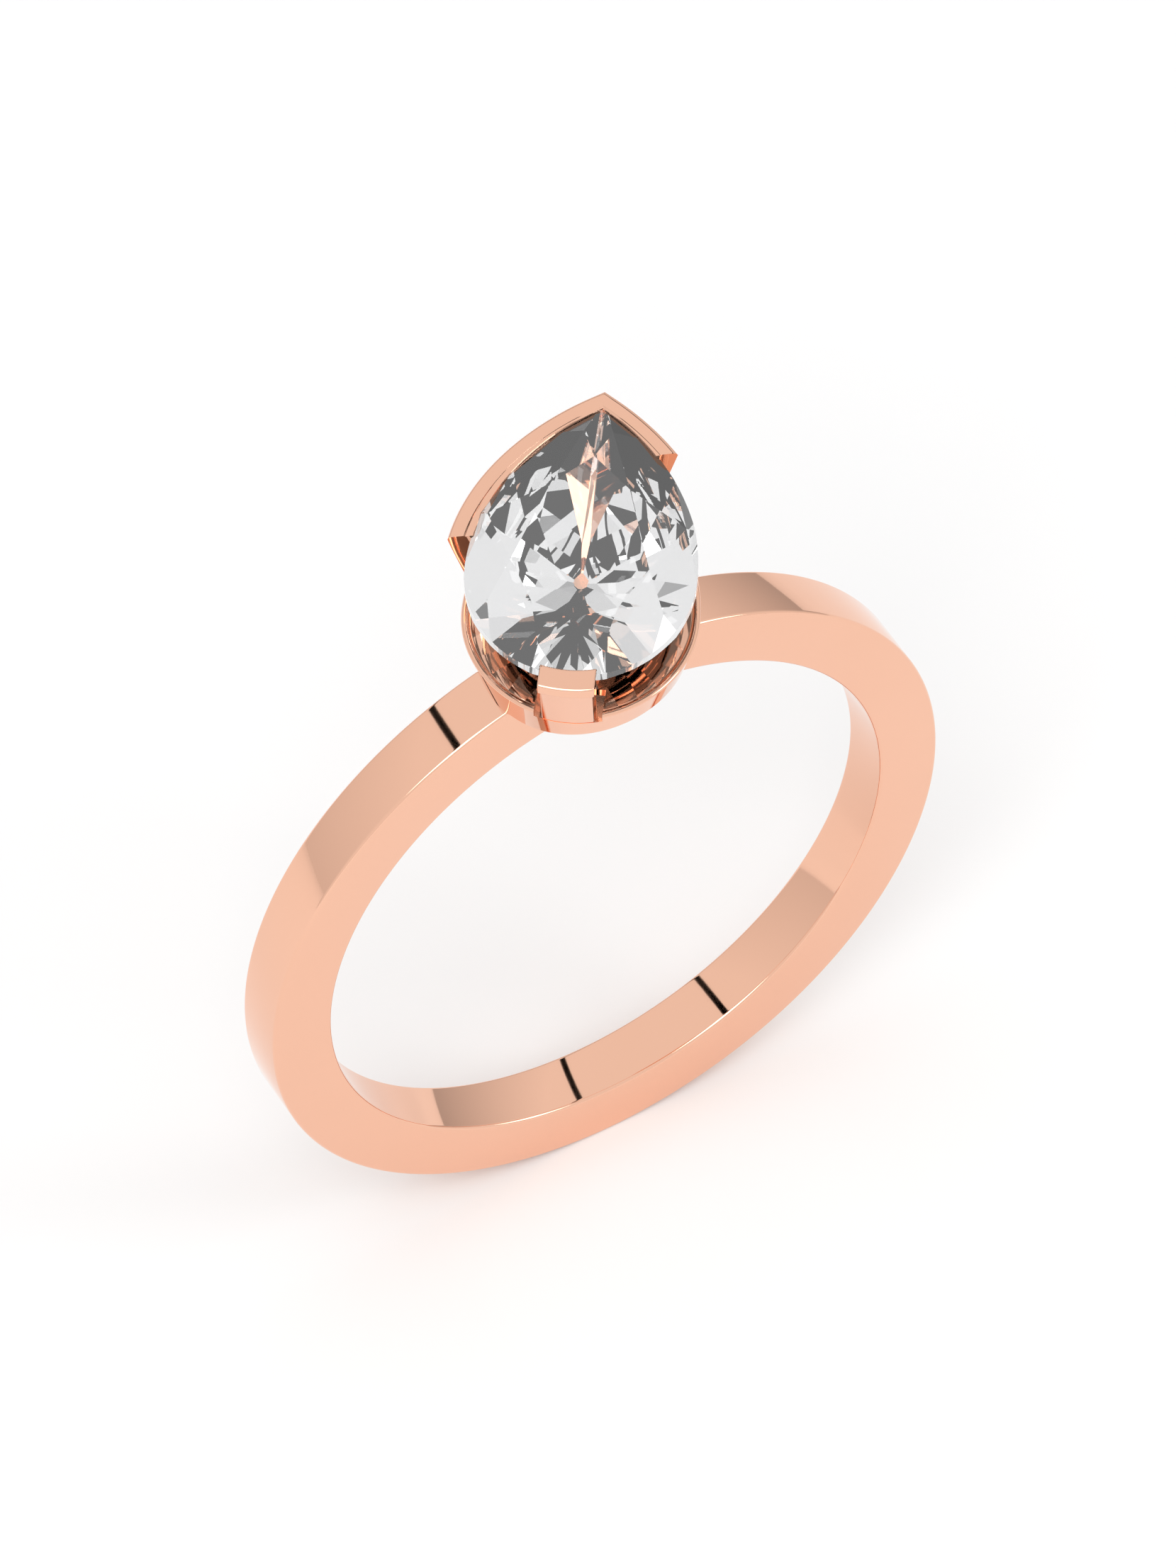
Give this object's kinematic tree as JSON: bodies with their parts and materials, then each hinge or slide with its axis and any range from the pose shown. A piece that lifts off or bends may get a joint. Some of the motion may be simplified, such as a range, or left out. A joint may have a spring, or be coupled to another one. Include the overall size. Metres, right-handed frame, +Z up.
{
  "type": "engagement ring",
  "caption": "Flat polished band with a turned pear-cut stone held by a V-shaped tip bezel and a tab prong on a low flared gallery.",
  "frame": {"origin": "centre of the finger hole", "axes": "+Z up through the head and the stone, +Y along the finger, +X round the band"},
  "size_m": [0.02, 0.0083, 0.0231],
  "materials": {
    "rose_gold": "mirror-polished rose gold",
    "diamond": "clear, faceted and polished"
  },
  "bodies": {
    "root": {"shank": "rose_gold", "head_peg": "rose_gold", "gallery_base": "rose_gold", "tip_bezel": "rose_gold", "tab_prong": "rose_gold", "diamond": "diamond"}
  },
  "joints": []
}
